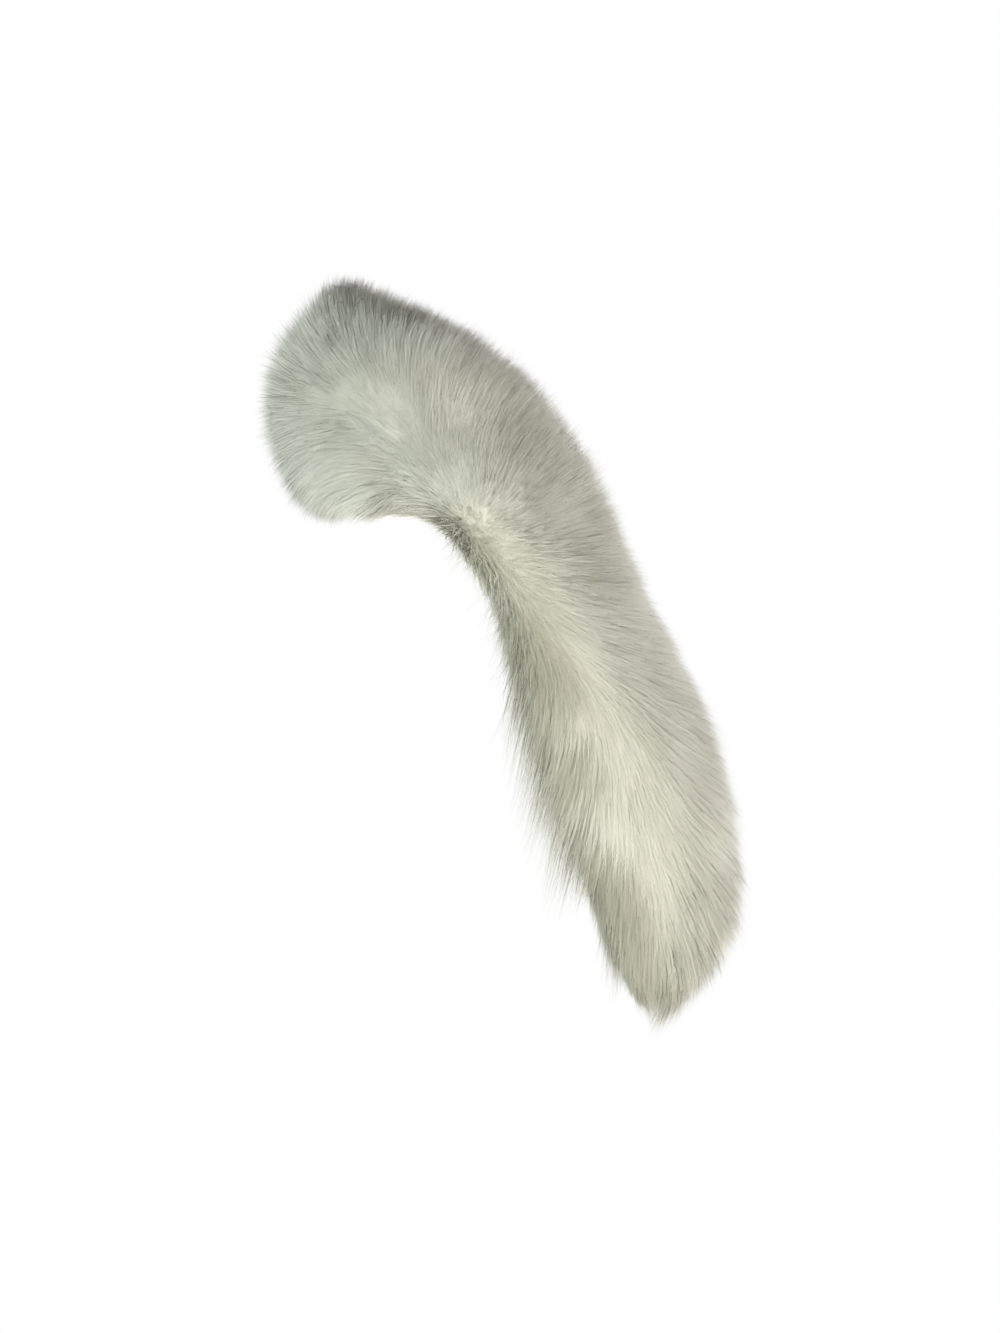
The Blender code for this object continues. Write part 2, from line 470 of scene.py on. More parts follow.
@dataclass(frozen=True)
class HairFinish:
    """Guard hair: warm, with painted shade darkening it towards the root, and a clear cream white at the
    tip.
    """

    # root: painted shade, darker and warmer where the hair sinks into the coat
    root: tuple = (0.80, 0.785, 0.70)
    middle: tuple = (0.89, 0.88, 0.815)
    tip: tuple = (0.925, 0.92, 0.865)
    # The low end of the tone: random duller hairs, and the painted shade that Growth takes off the tone.
    dull_and_shaded: tuple = (0.60, 0.585, 0.53)
    plain: tuple = (0.945, 0.94, 0.93)
    clear: tuple = (1.0, 1.0, 1.0)
    roughness: float = 0.62
    specular: float = 0.25

    def build(self) -> bpy.types.Material:
        """Colour along each hair with painted shade at the root, times a tone for each hair that the
        map's first value holds.
        """
        surface = Surface("fox_guard_hair")
        nodes = surface.nodes
        place = nodes.add("SeparateXYZ", {0: nodes.add("UVMap", uv_map="OFBake").outputs[0]})
        # Painted shade: each hair darkens from its tip towards its root.
        length = nodes.ramp(place.outputs[1], ((0.0, self.root), (0.45, self.middle), (1.0, self.tip)))
        # The tone runs from the duller colour, which also carries painted shade, to clear white.
        tone = nodes.ramp(place.outputs[0], ((0.0, self.dull_and_shaded), (0.6, self.plain), (1.0, self.clear)))
        mixed = nodes.add("Mix", {0: 1.0, 6: length, 7: tone}, data_type="RGBA", blend_type="MULTIPLY")
        return surface.shade({"Base Color": mixed.outputs[2], "Roughness": self.roughness,
                              "Specular IOR Level": self.specular})


@dataclass(frozen=True)
class UnderfurFinish:
    """Dense soft underfur: a mat of fine crimped fibres, with painted shade in its hollows."""

    painted_hollow_shade: tuple = (0.80, 0.785, 0.71)
    crest: tuple = (0.90, 0.89, 0.825)
    fibre_scale: float = 900.0
    patch_scale: float = 60.0
    relief: float = 0.0012
    roughness: float = 0.9
    specular: float = 0.1

    def build(self, patches: bpy.types.NodeTree) -> bpy.types.Material:
        """Fine fibres from noise, over broad soft patches, with a bump from both; the colour darkens in
        the bump's hollows as painted shade.
        """
        surface = Surface("fox_underfur")
        nodes = surface.nodes
        fibre = surface.texture("TexNoise", self.fibre_scale, {"Detail": 3.0, "Roughness": 0.6})
        patch = surface.texture("Group", self.patch_scale, {}, node_tree=patches)
        both = nodes.scaled(fibre.outputs[0], 0.7, patch.outputs["Mask"])
        mask = nodes.add("Math", {0: both, 1: 0.62}, operation="MULTIPLY").outputs[0]
        # Painted shade: the mask that makes the bump also darkens the colour where it is low, along with
        # the patches' tone.
        return surface.shade({"Base Color": nodes.ramp(mask, ((0.2, self.painted_hollow_shade), (0.75, self.crest))),
                              "Normal": surface.bump(mask, 0.6, self.relief),
                              "Roughness": self.roughness, "Specular IOR Level": self.specular})


@dataclass(frozen=True)
class SuedeFinish:
    """The dressed side of the skin: pale buff suede with a short nap and soft creases."""

    pale: tuple = (0.77, 0.715, 0.61)
    deep: tuple = (0.68, 0.615, 0.50)
    nap_scale: float = 1400.0
    crease_scale: float = 160.0
    patch_scale: float = 55.0
    relief: float = 0.0008
    roughness: float = 0.85
    sheen: float = 0.25

    def build(self, patches: bpy.types.NodeTree) -> bpy.types.Material:
        """Nap from fine noise over broad patches, with a bump from the nap and the creases."""
        surface = Surface("dressed_suede")
        nodes = surface.nodes
        nap = surface.texture("TexNoise", self.nap_scale, {"Detail": 4.0, "Roughness": 0.65})
        crease = surface.texture("TexNoise", self.crease_scale, {"Detail": 3.0, "Distortion": 0.8})
        patch = surface.texture("Group", self.patch_scale, {}, node_tree=patches)
        mask = nodes.scaled(patch.outputs["Mask"], 0.45, nap.outputs[0])
        height = nodes.scaled(crease.outputs[0], 1.6, nap.outputs[0])
        return surface.shade({"Base Color": nodes.ramp(mask, ((0.45, self.deep), (0.95, self.pale))),
                              "Normal": surface.bump(height, 0.5, self.relief),
                              "Roughness": self.roughness, "Sheen Weight": self.sheen})


@dataclass(frozen=True)
class ThreadFinish:
    """Waxed cotton thread, with painted shade in the grooves of its twist."""

    light: tuple = (0.78, 0.75, 0.68)
    painted_groove_shade: tuple = (0.60, 0.57, 0.50)
    twist_scale: float = 700.0
    relief: float = 0.0002
    roughness: float = 0.6

    def build(self) -> bpy.types.Material:
        """Fine slanted bands for the twist of the plies, darker where the bump is low as painted shade.
        """
        surface = Surface("seam_thread")
        wave = surface.texture("TexWave", self.twist_scale, {}, bands_direction="DIAGONAL")
        # Painted shade: the same bands make the bump and darken the colour in its grooves.
        colour = surface.nodes.ramp(wave.outputs[1], ((0.1, self.painted_groove_shade), (0.8, self.light)))
        return surface.shade({"Base Color": colour, "Roughness": self.roughness,
                              "Normal": surface.bump(wave.outputs[1], 0.4, self.relief)})


def build_patches() -> bpy.types.NodeTree:
    """Build the group of broad soft patches that the underfur and the suede share."""
    group = bpy.data.node_groups.new("soft_patches", "ShaderNodeTree")
    group.interface.new_socket("Vector", in_out="INPUT", socket_type="NodeSocketVector")
    group.interface.new_socket("Scale", in_out="INPUT", socket_type="NodeSocketFloat")
    group.interface.new_socket("Mask", in_out="OUTPUT", socket_type="NodeSocketFloat")
    entry = group.nodes.new("NodeGroupInput")
    leave = group.nodes.new("NodeGroupOutput")
    nodes = Nodes(group)
    noise = nodes.add("TexNoise", {"Vector": entry.outputs["Vector"], "Scale": entry.outputs["Scale"],
                                   "Detail": 2.0, "Roughness": 0.5})
    spread = nodes.add("MapRange", {0: noise.outputs[0], 1: 0.3, 2: 0.7})
    group.links.new(spread.outputs[0], leave.inputs["Mask"])
    return group


@dataclass
class Pelt:
    """One dressed skin: a thin closed shell on the body side of the coat."""

    side: Side
    rows: int = 100
    columns: int = 21
    flat_length: float = 0.482
    flat_width: float = 0.100
    wave_depth: float = 0.0003
    wave_length: float = 0.012

    def build(self, band: Band, material: bpy.types.Material) -> bpy.types.Object:
        """Work out both faces of the skin and its rim.

        Args:
            band: The band's shape.
            material: The suede.

        Returns:
            The piece. The hair side lies the skin's thickness off the body side, and the body side
            has soft shallow waves.
        """
        station, place = all_pairs(np.linspace(0, PELT_END, self.rows),
                                   np.linspace(-1, 1, self.columns))
        inner = band.skin(station, place)
        outer = band.skin(station, place, PELT_THICKNESS)
        ease = smooth(0, 0.4, station) * smooth(0, 0.15, PELT_END - station)
        wave = self.wave_depth * Waves(71, self.wave_length).at(inner) * ease
        inner = inner + wave[:, None] * band.frames(station).off_skin
        count = len(inner)
        squares = Builder.grid(self.rows, self.columns, closed=False)
        number = np.arange(count).reshape(self.rows, self.columns)
        rim = np.concatenate([number[0, :], number[1:, -1], number[-1, -2::-1], number[-2:0:-1, 0]])
        after = np.roll(rim, -1)
        walls = np.column_stack([after, rim, rim + count, after + count])
        faces = np.vstack([squares, squares[:, ::-1] + count, walls])
        return Builder.mesh(f"pelt_skin_{self.side.label}", np.vstack([inner, outer]), faces.ravel(),
                            np.full(len(faces), 4), material, self.side)

    def flat_area(self, band: Band) -> float:
        """The cut's own area: the skin's width summed over its length."""
        station = np.linspace(0, PELT_END, 400)
        steps = np.linalg.norm(np.diff(band.middle(station), axis=0), axis=1)
        width = 2 * band.half_pelt(station)
        return float(np.sum(steps * (width[1:] + width[:-1]) / 2))


@dataclass
class SeamThread:
    """The overcast stitches that join the two skins at the centre back, on their body side."""

    pitch: float = 0.0030
    reach: float = 0.0022       # of a stitch to either side of the seam
    rise: float = 0.0006        # of its middle off the skin
    slant: float = 0.0009
    radius: float = 0.00030
    sunk: float = 0.0002        # of its ends into the skin
    rings: int = 9
    corners: int = 6

    def build(self, band: Band, material: bpy.types.Material) -> bpy.types.Object:
        """Work out all the stitches as one mesh.

        Args:
            band: The band's shape.
            material: The thread's finish.

        Returns:
            The piece. Each stitch is a tube along half a wave: sideways by the reach times cos(pi t),
            off the skin by the rise times sin(pi t), with its ends sunk into the skin.
        """
        half = float(band.half_pelt(np.zeros(1))[0])
        centre = np.arange(-half + 0.004, half - 0.003, self.pitch)[:, None, None]
        t = np.linspace(0, 1, self.rings)[None, :, None]
        turn = np.linspace(0, 2 * np.pi, self.corners, endpoint=False)[None, None, :]
        lift = self.rise * np.sin(np.pi * t) - self.sunk
        curl = band.read(np.zeros(1)).curl * (centre / half) ** 2
        grids = np.broadcast_arrays(self.reach * np.cos(np.pi * t),
                                    centre + self.slant * np.cos(np.pi * t) + self.radius * np.cos(turn),
                                    -curl - lift - self.radius * np.sin(turn))
        side, across, off = (grid.ravel() for grid in grids)
        points = band.placed(np.zeros(len(across)), across, off)
        points[:, 0] = side
        tube, sizes = Builder.tube(self.rings, self.corners)
        first = np.arange(centre.size)[:, None] * self.rings * self.corners
        return Builder.mesh("seam_thread", points, (tube + first).ravel(),
                            np.tile(sizes, centre.size), material)


@dataclass
class Underfur:
    """The dense soft body of one side's coat, which the guard hairs stand out of."""

    side: Side
    share: float = 0.71         # of the coat's reach, over the middle of the skin
    bulge: float = 0.28         # of its reach past the skin's edges
    crest: float = 0.11         # added to the share over the middle, at the neck
    level: float = 0.016        # height of the widest place
    drop: float = 0.010         # half height of the outline below it
    rows: int = 120
    columns: int = 48
    taper: float = 9.3          # station where it begins to shrink to its point
    end: float = 10.42
    clearance: float = 0.0008   # off the skin
    free_base: float = 0.003    # height of its underside past the skin's end
    unevenness: float = 0.0012
    lap: float = 3 * SEAM_GAP   # how far it reaches over the centre back

    def build(self, band: Band, material: bpy.types.Material) -> bpy.types.Object:
        """Work out the closed body.

        Args:
            band: The band's shape.
            material: The underfur's finish.

        Returns:
            The piece. Round each section runs a rounded box curve, which bulges past the skin's edges
            and is cut off just above the skin. Towards its end the section shrinks to a point, and
            soft waves make it uneven. At the centre back it reaches just into the other side's
            body, so that no gap shows between them.
        """
        station = np.linspace(0, self.end, self.rows)
        past = np.clip((station - self.taper) / (self.end - self.taper), 0, 1)
        denser = self.taper + (self.end - self.taper) * np.sin(np.pi / 2 * past)
        station = np.where(station > self.taper, denser, station)
        station, angle = all_pairs(station, np.linspace(0, 2 * np.pi, self.columns, endpoint=False))
        row = band.read(station)
        half = band.half_pelt(station)
        cosine, sine = np.cos(angle), np.sin(angle)
        half_width = half + self.bulge * np.where(cosine > 0, row.upper, row.lower)
        across = half_width * signed_power(cosine, CROWN_POWER)
        tip = narrowing(self.taper, self.end, station)
        bend = row.curl * np.clip(np.abs(across) * tip / half, 0, 1) ** 2
        base = PELT_THICKNESS + self.clearance - bend
        past_pelt = smooth(PELT_END, PELT_END + 0.1, station)
        base = base * (1 - past_pelt) + self.free_base * past_pelt
        crest = self.crest * (1 - smooth(4.2, 6.0, station)) * np.maximum(sine, 0) ** 2
        reach = (self.share + crest) * row.reach * Growth.trim(np.minimum(station, 9.0), angle)
        half_height = np.where(sine > 0, reach - self.level, self.level + self.drop)
        height = np.maximum(self.level + half_height * signed_power(sine, CROWN_POWER) - base, 0)
        points = band.placed(station, across * tip, base + height * tip)
        outward = unit(points - band.placed(station, 0.6 * across * tip, base - 0.001))
        bumps = Waves(11, 0.013).at(points) + 0.6 * Waves(12, 0.006).at(points)
        ease = np.maximum(sine, 0) * smooth(0, 0.3, station) * tip
        points = points + (self.unevenness * bumps * ease)[:, None] * outward
        points[:self.columns, 0] += self.lap
        loops, sizes = Builder.tube(self.rows, self.columns)
        return Builder.mesh(f"underfur_{self.side.label}", points, loops[reversed_corners(sizes)],
                            sizes, material, self.side)


@dataclass
class Layer:
    """The sizes of one layer of hair on one side."""

    side: Side
    name: str
    count: int
    seed: int
    rings: tuple = (0.42, 0.66, 0.86, 1.0)  # places along the curve where the ribbon has its corners
    width: float = 0.00030
    length: tuple = (1.00, 1.10)
    lock_size: float = 0.0038
    lock_pull: float = 0.20
    stray: float = 0.0022       # random offset of each tip
    swirl: float = 0.0050       # smooth offset that neighbours share
    frizz: float = 0.0005
    crossing: float = 0.010     # how far a hair may reach over the centre back
    smoothing: float = 0.92     # how far the shading normals follow the coat's outline
    loose: float = 1.0          # share of the loose strands' extra length
    tone: tuple = (0.88, 0.18)  # mean and spread of the hairs' tones, from dull to clear
    cover: Cover = Cover.ALL
    sections: tuple = (0.0, 4.0, 7.4, FUR_END)
    parts: tuple = ("neck", "chest", "tip")

    def ring_shares(self) -> Array:
        """The ribbon's corner places, counted from 0 at the first to 1 at the tip."""
        return (np.array(self.rings) - self.rings[0]) / (1 - self.rings[0])


class Growth:
    """Every hair of a layer: where it ends on the coat's outline, where it starts, and its curve.

    The arrays hold one value for each hair: its tip's station and its angle round the section, the
    same after its lock's pull, a number from 0 to 1 for its lock, how far it is matted, the outline's
    outward direction, and, once the curves are made, its tone.
    """

    def __init__(self, layer: Layer, band: Band) -> None:
        """Spread the tips over the outline and find their locks.

        Args:
            layer: The layer's sizes.
            band: The band's shape.
        """
        self.layer, self.band = layer, band
        self.rng = np.random.default_rng(layer.seed)
        self.station, self.angle = self.spread()
        self.pulled, self.turned, self.lock = self.locks()
        self.matted = smooth_turn(122, 168, self.angle) * between(3.6, 4.6, 6.2, 7.0, self.station)
        self.outward = band.crown_normal(self.station, self.angle)

    def spread(self) -> tuple:
        """Spread the hair tips evenly over the coat's outline.

        Returns:
            The tips' stations and their angles round the section. The outline is cut into small cells,
            each gets hairs in proportion to its area, and each hair a random place in its cell.
        """
        rows, columns, count = 220, 90, self.layer.count
        stations = np.linspace(0, FUR_END, rows + 1)
        turns = np.linspace(0, 1, columns + 1)
        station, turn = all_pairs(stations, turns)
        angle = self.turn_to_angle(station, turn)
        points = self.band.crown(station, angle).reshape(rows + 1, columns + 1, 3)
        along = points[1:, :-1] - points[:-1, :-1]
        around = points[:-1, 1:] - points[:-1, :-1]
        area = np.linalg.norm(np.cross(along, around), axis=-1)
        if self.layer.cover is Cover.EDGES:
            rim = np.abs(turns[None, :-1] + 0.5 / columns - 0.5) > 0.36
            under = np.sin(angle).reshape(rows + 1, columns + 1)[:-1, :-1] < 0.2
            area = area * np.where(stations[:-1, None] > 10.4, 4.0 * under, rim)
        total = np.cumsum(area.ravel())
        picks = (np.arange(count) + self.rng.random(count)) / count * total[-1]
        cell = np.minimum(np.searchsorted(total, picks), rows * columns - 1)
        row, column = np.divmod(cell, columns)
        station = (row + self.rng.random(count)) / rows * FUR_END
        return station, self.turn_to_angle(station, (column + self.rng.random(count)) / columns)

    def turn_to_angle(self, stations: Array, turns: Array) -> Array:
        """Angles round the section, where the coat turns under its edges and right round at the tip.

        Args:
            stations: Places along the band.
            turns: Shares of the way from the upper edge's underside to the lower one's.

        Returns:
            The angles, as in crown.
        """
        least = COAT_UNDERTURN if self.layer.cover is Cover.ALL else RIM_UNDERTURN
        under = np.radians(least + (90 - least) * smooth(9.5, 10.4, stations))
        return -under + turns * (np.pi + 2 * under)

    def locks(self) -> tuple:
        """Draw the hairs' tips together in small locks.

        The outline is cut in squares, each with a random centre; a hair belongs to the nearest
        centre among its own square's and its eight neighbours'.

        Returns:
            The stations and angles after the pull, and a number from 0 to 1 for each hair's lock.
        """
        table = np.random.default_rng(self.layer.seed + 5).random((3, 64, 256))
        scales = STATION_LENGTH / self.layer.lock_size, CROWN_RADIUS / self.layer.lock_size
        a, b = self.station * scales[0], self.angle * scales[1]
        best = np.full(len(a), np.inf)
        centre_a, centre_b, key = a.copy(), b.copy(), np.zeros(len(a))
        for step_a in (-1, 0, 1):
            for step_b in (-1, 0, 1):
                cell_a, cell_b = np.floor(a).astype(int) + step_a, np.floor(b).astype(int) + step_b
                jitter = table[:, cell_b % 64, cell_a % 256]
                there_a, there_b = cell_a + jitter[0], cell_b + jitter[1]
                distance = (there_a - a) ** 2 + (there_b - b) ** 2
                nearer = distance < best
                best = np.where(nearer, distance, best)
                centre_a = np.where(nearer, there_a, centre_a)
                centre_b = np.where(nearer, there_b, centre_b)
                key = np.where(nearer, jitter[2], key)
        pull = self.layer.lock_pull * (0.3 + 1.4 * key)
        a, b = a + pull * (centre_a - a), b + pull * (centre_b - b)
        return np.clip(a / scales[0], 0, FUR_END), b / scales[1], key

    def root_stations(self) -> Array:
        """Where along the band the hairs are rooted.

        Returns:
            The roots' stations. The hairs lean towards the tip of the stole: hardly at the neck, by
            three quarters of a station on the chest, and at the end by what brings the last root's
            hair to the very tip. Under the chin those of the upper half lean back instead, and on the
            side of the neck those of the lower half do.
        """
        last = FUR_END - PELT_END if self.layer.cover is Cover.ALL else 0.2
        root = np.array([0.0, 1.0, 3.0, 4.0, 5.0, 6.0, 7.5, 9.0, PELT_END])
        lean = np.array([0.0, 0.05, 0.12, 0.20, 0.34, 0.54, 0.74, 0.80, last])
        chin = between(2.4, 4.0, 4.4, 6.4, self.station) * (1 - smooth_turn(25, 170, self.angle))
        nape = between(0.5, 2.2, 3.2, 5.0, self.station) * smooth_turn(30, 120, self.angle)
        return np.interp(self.station, root + lean, root) + 0.30 * chin + 0.45 * nape

    def tips(self, root: Array) -> Array:
        """Where the hairs end, before the loose strands hang down.

        Args:
            root: The roots' points.

        Returns:
            The points: on the outline after the locks' pull, moved by the offsets, and nearer to the
            root or further from it by the hair's length.
        """
        tip = self.band.crown(self.pulled, self.turned)
        offsets = self.offsets(tip)
        return root + (tip + offsets - root) * self.lengths()[:, None]

    def offsets(self, tip: Array) -> Array:
        """How far waves and chance move the tips, mostly along the outline.

        Args:
            tip: The tips' points on the outline.

        Returns:
            The offsets. At the centre back chance moves the tips further sideways, so that the hair
            closes over the seam.
        """
        seed = self.layer.seed
        drift = np.column_stack([Waves(seed + n, 0.035).at(tip) for n in (31, 32, 33)])
        drift += 0.6 * np.column_stack([Waves(seed + n, 0.014).at(tip) for n in (41, 42, 43)])
        drift[:, 0] *= smooth(0, 0.25, self.station)
        chance = self.rng.normal(size=drift.shape) * (self.layer.stray + 0.008 * self.matted)[:, None]
        chance[:, 0] *= 1 + 2.2 * (1 - smooth(0, 0.35, self.station))
        moved = self.layer.swirl * drift + chance
        return moved - 0.6 * self.outward * np.sum(moved * self.outward, axis=1, keepdims=True)

    def lengths(self) -> Array:
        """How far each hair goes on the way from its root to the outline.

        Returns:
            Shares of the way, by the layer and the lock: shorter where the hair is matted, and longer
            for a few loose strands at the neck.
        """
        count = len(self.station)
        share = self.rng.uniform(*self.layer.length, count) * (1 + 0.03 * (self.lock - 0.5))
        share *= (1 - 0.10 * self.matted) * self.trim(self.station, self.angle)
        strands = self.rng.random(count) ** 5 * (1 - smooth(2.5, 4.0, self.station))
        return share + self.layer.loose * 0.12 * strands

    @staticmethod
    def trim(stations: Array, angles: Array) -> Array:
        """Shares by which the coat is longer or shorter than its plain outline.

        Args:
            stations: Places along the band.
            angles: Angles round the section, as in crown.

        Returns:
            The shares. The upper half is shorter on the collarbone and fuller at the tip, the lower
            half is a little fuller at the tip, and at the neck's back the hair is longest in the
            middle of the skin.
        """
        upper = 1 - smooth_turn(95, 150, angles)
        front = np.interp(stations, (3.4, 4.4, 5.2, 5.9, 6.8, 7.8),
                          (0.0, 0.06, -0.01, -0.10, -0.05, 0.0))
        end = 0.10 * smooth(9.2, 10.2, stations) + 0.14 * smooth(10.2, FUR_END, stations)
        end += 0.10 * np.exp(-((stations - 10.3) / 0.35) ** 2)
        nape = (1 - smooth(0.8, 2.4, stations)) * (0.05 - 0.12 * np.sin(2 * angles) ** 2)
        return 1 + upper * (front + end) + (1 - upper) * 0.04 * smooth(9.6, 10.4, stations) + nape

    def wisps(self) -> Array:
        """How far the loose strands hang back and down from the lower edge on the chest.

        Returns:
            The tips' offsets. Their length is a power of chance, so that few are long: up to 50 mm on
            the chest and 20 mm in a small tuft above the tip.
        """
        most = 0.050 * between(5.8, 6.8, 8.6, 9.4, self.station)
        most += 0.020 * between(9.9, 10.1, 10.3, 10.5, self.station)
        most *= self.layer.loose * smooth_turn(140, 180, self.angle)
        size = most * self.rng.random(len(self.station)) ** 2.2
        return size[:, None] * np.array([0.0, 0.42, -0.9])

    def curves(self) -> Array:
        """Work out every hair's curve, and keep its tone.

        Returns:
            Points along each hair. A curve goes from the root by way of a point above it, which fans
            out over the edges, to the tip: (1-v)^2 root + 2v(1-v) middle + v^2 tip. On the side of
            the neck the hair is brushed up: its roots lie lower than its tips. Frizz grows with v
            squared.
        """
        layer, station = self.layer, self.root_stations()
        place = (np.pi / 2 - self.angle) / (np.pi / 2 + np.radians(COAT_UNDERTURN))
        place = np.clip(place, -1, 1)
        start, rise, at_end = layer.rings[0], 0.9, np.zeros((len(place), 1))
        if layer.cover is Cover.EDGES:
            start, rise, at_end = 0.02, 2.2, smooth(10.1, PELT_END, station)[:, None]
            place = np.where(at_end[:, 0] > 0.9, np.cos(self.angle), np.sign(place))
        place = place - 0.32 * between(1.4, 3.6, 5.6, 7.2, station) * np.cos(np.pi / 2 * place)
        root = self.band.skin(station, place, PELT_THICKNESS)
        tip = self.tips(root)
        size = np.linalg.norm(tip - root, axis=1, keepdims=True)
        tip = tip + self.wisps()
        frames = self.band.frames(station)
        over = place[:, None] * frames.upper
        ahead = frames.along + 0.3 * (np.sin(self.angle)[:, None] * frames.off_skin + over)
        fan = unit((frames.off_skin + rise * over) * (1 - at_end) + ahead * at_end)
        middle = root + fan * size * 0.52
        v = (start + (1 - start) * layer.ring_shares())[None, :, None]
        points = (1 - v) ** 2 * root[:, None] + 2 * v * (1 - v) * middle[:, None]
        points += v ** 2 * tip[:, None]
        curl = self.rng.normal(size=points.shape) * layer.frizz
        points += curl * v ** 2 * (1 + 2 * self.matted[:, None, None])
        furthest = layer.crossing * self.rng.random((len(root), 1)) - SEAM_GAP / 2
        points[:, :, 0] = np.minimum(points[:, :, 0], furthest)
        self.tone = self.tones(tip)
        return points

    def tones(self, tip: Array) -> Array:
        """Each hair's tone.

        Args:
            tip: The tips' points.

        Returns:
            Tones from 0, the duller colour, to 1 for clear: by broad patches, the lock and chance,
            less the painted shade and the darkening towards the tip.
        """
        mean, spread = self.layer.tone
        patch = 0.20 * Waves(self.layer.seed % 2 + 51, 0.06).at(tip) + 0.10 * (self.lock - 0.5)
        chance = spread * (self.rng.random(len(tip)) - 0.5)
        return np.clip(mean + patch + chance - self.dulled(), 0, 1)

    def dulled(self) -> Array:
        """How far each hair's tone is darkened, mostly as painted shade.

        Returns:
            What is taken off each hair's tone: painted shade with some real matted look where it is
            matted, painted shadow under the chin, painted shade along both edges on the chest, and more
            towards the tip.
        """
        station, angle = self.station, self.angle
        # Painted shade: edge is the lower edge and front the upper edge on the chest, chin lies under
        # the chin, and the matted hair is shaded as well as matted. End darkens the tip.
        edge = smooth_turn(125, 175, angle) * smooth(5.6, 6.8, station)
        front = (1 - smooth_turn(10, 60, angle)) * smooth(4.8, 6.2, station)
        chin = between(2.2, 3.6, 5.0, 6.4, station) * (1 - smooth_turn(80, 135, angle))
        end = 0.38 * smooth(8.6, 10.0, station) + 0.40 * smooth(10.1, FUR_END, station)
        return 0.60 * self.matted + 0.60 * edge + 0.25 * front + 0.28 * chin + end


class Ribbons(NamedTuple):
    """A mesh of hairs: points, corners of all faces, corners in each face, normals, and the map."""

    points: Array
    loops: Array
    sizes: Array
    normals: Array
    uv: Array


@dataclass
class Coat:
    """One layer of hair on one side, made of ribbons.

    Every hair is a narrow ribbon of a few segments that ends in a point. It starts inside the
    underfur and ends on the coat's outline, so the hairs are spread evenly over that outline.
    """

    layer: Layer

    def ribbons(self, points: Array, outward: Array, tones: Array, rng: np.random.Generator) -> Ribbons:
        """Turn hairs into ribbons.

        Args:
            points: Points along each hair.
            outward: The coat's outward direction at each.
            tones: Their tones.
            rng: Random numbers for this layer.

        Returns:
            The mesh for the right side. A ribbon's flat side turns by chance about the hair, and it
            narrows to nothing by 1 - v^2.5. The map holds its tone and the place along the hair.
        """
        layer, v = self.layer, self.layer.ring_shares()
        count, rings = len(points), len(v) - 1
        tangent = unit(points[:, -1] - points[:, 0])
        chance = unit(rng.normal(size=(count, 3)))
        sideways = unit(np.cross(tangent, outward + 0.9 * chance))
        half = 0.5 * layer.width * (1 - v[:-1] ** 2.5) * rng.uniform(0.7, 1.3, (count, 1))
        offset = half[:, :, None] * sideways[:, None, :]
        pairs = np.stack([points[:, :-1] - offset, points[:, :-1] + offset], axis=2)
        verts = np.concatenate([pairs.reshape(count, 2 * rings, 3), points[:, -1:]], axis=1)
        flat = np.cross(tangent, sideways)
        turned = (np.sum(flat * outward, axis=1) < 0)[:, None]
        flat = np.where(turned, -flat, flat)
        normal = unit(layer.smoothing * outward + (1 - layer.smoothing) * flat)
        quads = np.arange(rings - 1)[:, None] * 2 + np.array([0, 2, 3, 1])
        last = np.array([2 * rings - 2, 2 * rings, 2 * rings - 1])
        front = np.concatenate([quads.ravel(), last])
        back = np.concatenate([quads[:, ::-1].ravel(), last[::-1]])
        loops = np.where(turned, back, front)
        across = np.append(np.tile([-0.004, 0.004], rings), 0.0)
        along = 0.004 + 0.992 * np.append(np.repeat(v[:-1], 2), 1.0)
        uv = np.stack(np.broadcast_arrays(0.01 + 0.98 * tones[:, None] + across, along), axis=-1)
        uv = np.take_along_axis(uv, np.repeat(loops[:, :, None], 2, axis=2), axis=1)
        size = 2 * rings + 1
        first = (np.arange(count) * size)[:, None]
        return Ribbons(verts.reshape(-1, 3), (loops + first).ravel(),
                       np.tile([4] * (rings - 1) + [3], count), np.repeat(normal, size, axis=0),
                       np.clip(uv, 0, 1).reshape(-1, 2))

    def build(self, band: Band, material: bpy.types.Material) -> list:
        """Build the layer's pieces, one for each stretch of the band.

        Args:
            band: The band's shape.
            material: The hair's finish.

        Returns:
            The pieces.
        """
        layer = self.layer
        rng = np.random.default_rng(layer.seed + 900)
        growth = Growth(layer, band)
        points = growth.curves()
        pieces = []
        for part, low, high in zip(layer.parts, layer.sections, layer.sections[1:]):
            chosen = (growth.station >= low) & (growth.station < high)
            made = self.ribbons(points[chosen], growth.outward[chosen], growth.tone[chosen], rng)
            obj = Builder.mesh(f"{layer.name}_{part}_{layer.side.label}", made.points, made.loops,
                               made.sizes, material, layer.side)
            self.dress(obj, made)
            pieces.append(obj)
        return pieces

    def dress(self, obj: bpy.types.Object, made: Ribbons) -> None:
        """Give a piece its map and its soft shading normals.

        Args:
            obj: The piece.
            made: What its mesh was made from, for the right side.
        """
        uv, normals = made.uv, made.normals
        if self.layer.side is Side.LEFT:
            normals = normals * (-1.0, 1.0, 1.0)
            uv = uv[reversed_corners(made.sizes)]
        layer = obj.data.uv_layers.new(name="OFBake")
        layer.uv.foreach_set("vector", uv.astype(np.float32).ravel())
        soft = obj.data.attributes.new("custom_normal", "FLOAT_VECTOR", "POINT")
        soft.data.foreach_set("vector", normals.astype(np.float32).ravel())


